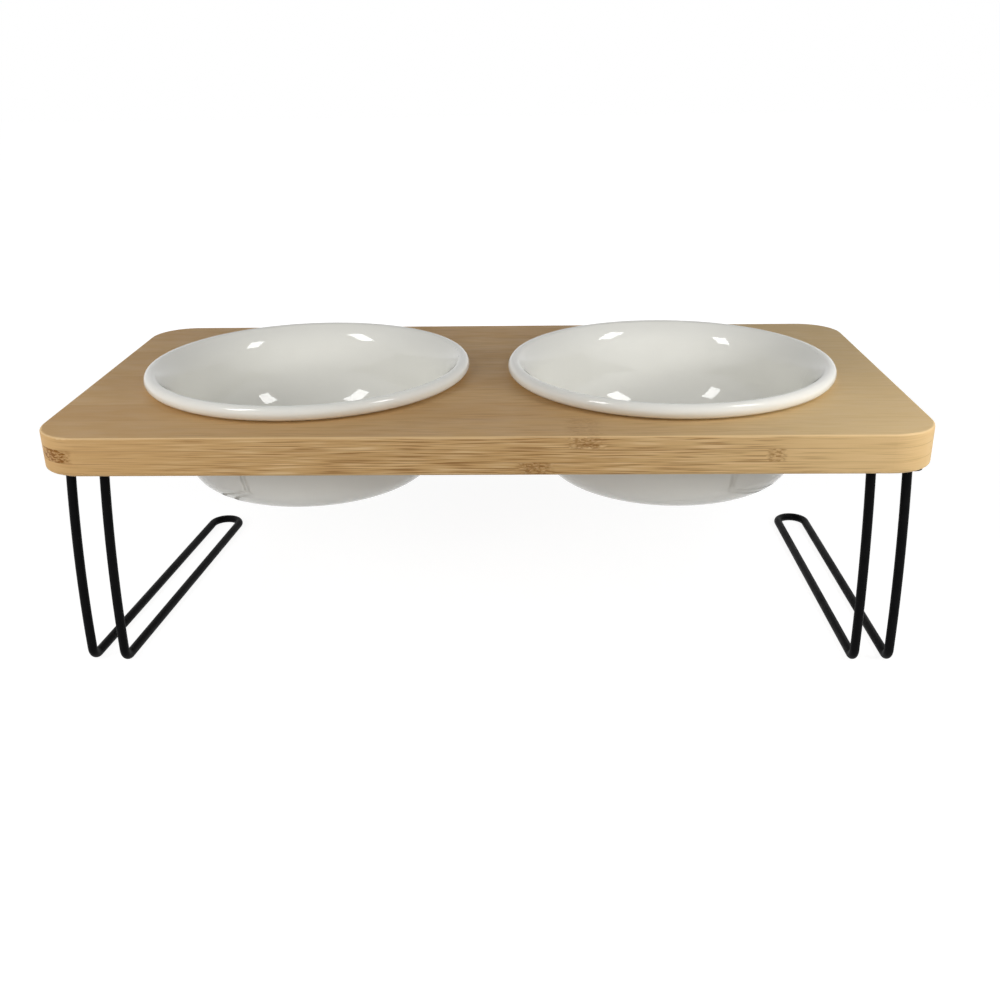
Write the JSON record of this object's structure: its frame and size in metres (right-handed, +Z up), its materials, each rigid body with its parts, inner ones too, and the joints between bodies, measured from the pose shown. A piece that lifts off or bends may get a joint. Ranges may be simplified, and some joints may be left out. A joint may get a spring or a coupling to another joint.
{
  "type": "dog bowl stand",
  "caption": "Raised pet feeder: a bamboo board on bent wire hairpin legs, with glazed bowls that hang by their rolled rims in round holes and lift out.",
  "frame": {"origin": "on the floor under the middle of the board", "axes": "+X along the board, from the left bowl to the right one; +Y to the rear, away from the legs' uprights; +Z up"},
  "size_m": [0.4, 0.2, 0.1255],
  "materials": {
    "bamboo": "satin clear lacquer over laminated bamboo",
    "glaze": "glossy off-white glaze",
    "black_coat": "satin black powder coat",
    "zinc_steel": "zinc plated"
  },
  "bodies": {
    "stand": {"bamboo_board": "bamboo", "left_leg": "black_coat", "right_leg": "black_coat", "left_leg_plate": "black_coat", "right_leg_plate": "black_coat", "left_leg_screws": "zinc_steel", "right_leg_screws": "zinc_steel"},
    "left_bowl": {"left_bowl": "glaze"},
    "right_bowl": {"right_bowl": "glaze"}
  },
  "joints": [
    {"name": "left_bowl_lift", "type": "slide", "parent": "stand", "child": "left_bowl", "axis": [0, 0, 1], "range_m": [0, 0.08]},
    {"name": "right_bowl_lift", "type": "slide", "parent": "stand", "child": "right_bowl", "axis": [0, 0, 1], "range_m": [0, 0.08]}
  ]
}
